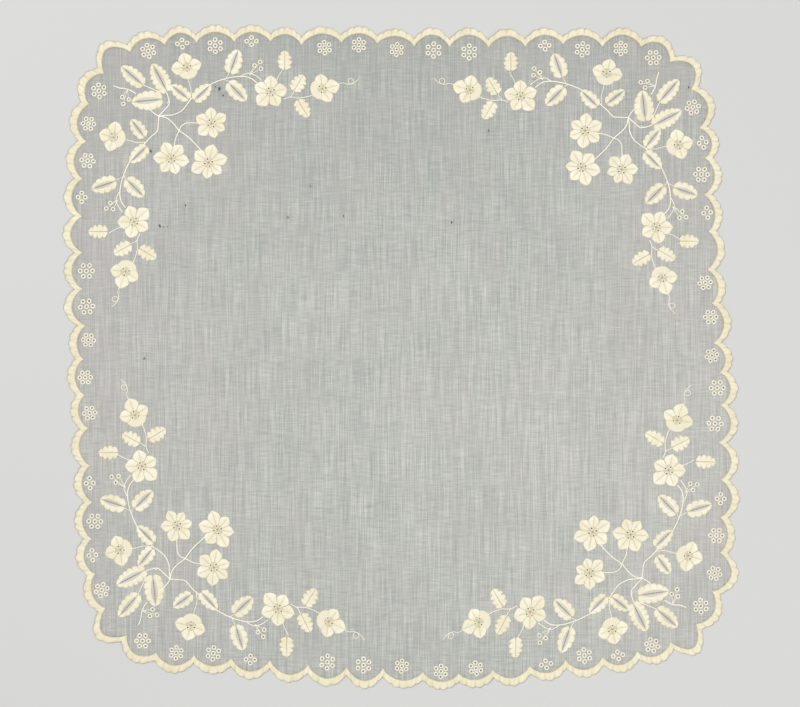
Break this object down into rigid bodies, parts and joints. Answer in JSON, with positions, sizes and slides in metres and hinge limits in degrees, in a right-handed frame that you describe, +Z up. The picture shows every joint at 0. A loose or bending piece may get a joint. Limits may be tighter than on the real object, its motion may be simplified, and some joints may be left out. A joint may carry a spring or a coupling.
{
  "type": "handkerchief",
  "caption": "Sheer white square handkerchief laid flat, with a scalloped buttonhole-stitched edge, eyelet clusters and raised whitework flower sprays in its corners.",
  "frame": {"origin": "centre of the cloth's outline, on its underside", "axes": "+Z up, away from the surface that the cloth lies on; +X along the top and bottom sides, +Y along the left and right sides, towards the side at the top of the picture"},
  "size_m": [0.4194, 0.4118, 0.0016],
  "materials": {
    "muslin": "sheer undyed plain weave, slubby, greyed with age"
  },
  "bodies": {
    "root": {"handkerchief_cloth": "muslin"}
  },
  "joints": []
}
